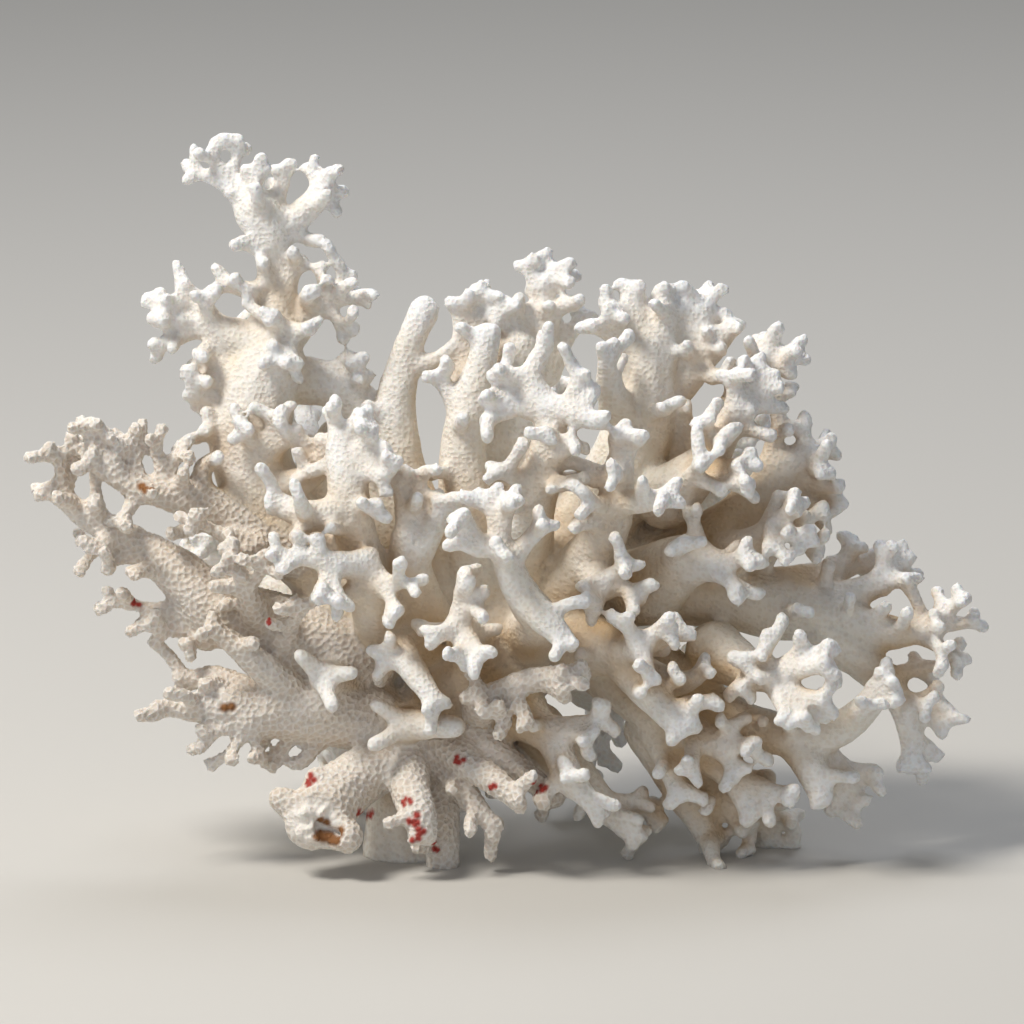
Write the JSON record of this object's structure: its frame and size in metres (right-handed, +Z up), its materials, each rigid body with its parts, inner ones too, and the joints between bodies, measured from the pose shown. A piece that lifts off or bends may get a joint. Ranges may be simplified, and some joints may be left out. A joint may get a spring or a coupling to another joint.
{
  "type": "branching coral",
  "caption": "Bleached branching coral with many short white finger tips on fused cream limbs, cut off flat where it grew and resting on the cut.",
  "frame": {"origin": "bottom centre of the object's box, on the surface that the coral rests on", "axes": "+X to the right along the longest extent as the picture shows it, +Y away from the viewer, +Z up"},
  "size_m": [0.193, 0.099, 0.1432],
  "materials": {
    "bleached_coral": "matte",
    "weathered_coral": "matte"
  },
  "bodies": {
    "root": {"trunk": "weathered_coral", "broken_foot": "weathered_coral", "foot_fingers": "weathered_coral", "left_limb": "weathered_coral", "lower_left_fingers": "weathered_coral", "left_upper_limb": "weathered_coral", "spire_trunk": "bleached_coral", "spire_middle": "bleached_coral", "spire_fan": "bleached_coral", "spire_head": "bleached_coral", "saddle_wall": "bleached_coral", "club_column": "bleached_coral", "knob_column": "bleached_coral", "crown_middle": "bleached_coral", "crown_left": "bleached_coral", "crown_right": "bleached_coral", "right_shoulder": "bleached_coral", "right_crown_fan": "bleached_coral", "right_crown_front": "bleached_coral", "right_limb": "bleached_coral", "right_upper_fan": "bleached_coral", "right_lower_fan": "bleached_coral", "right_front_web": "bleached_coral", "bright_cluster": "bleached_coral", "low_right_limb": "bleached_coral", "low_right_fork": "bleached_coral", "low_right_fingers": "bleached_coral", "low_front_fingers": "bleached_coral", "textured_finger": "weathered_coral", "front_finger": "bleached_coral", "front_lower_fork": "bleached_coral", "front_upper_fork": "bleached_coral", "finger_column": "bleached_coral", "centre_fork": "bleached_coral", "centre_cluster": "bleached_coral", "front_crown_fork": "bleached_coral", "front_right_column": "bleached_coral", "back_low_limb": "bleached_coral", "back_left": "bleached_coral", "back_upper_left": "bleached_coral", "back_centre": "bleached_coral", "back_crown": "bleached_coral", "back_right": "bleached_coral", "back_upper_right": "bleached_coral", "back_low_right": "bleached_coral"}
  },
  "joints": []
}
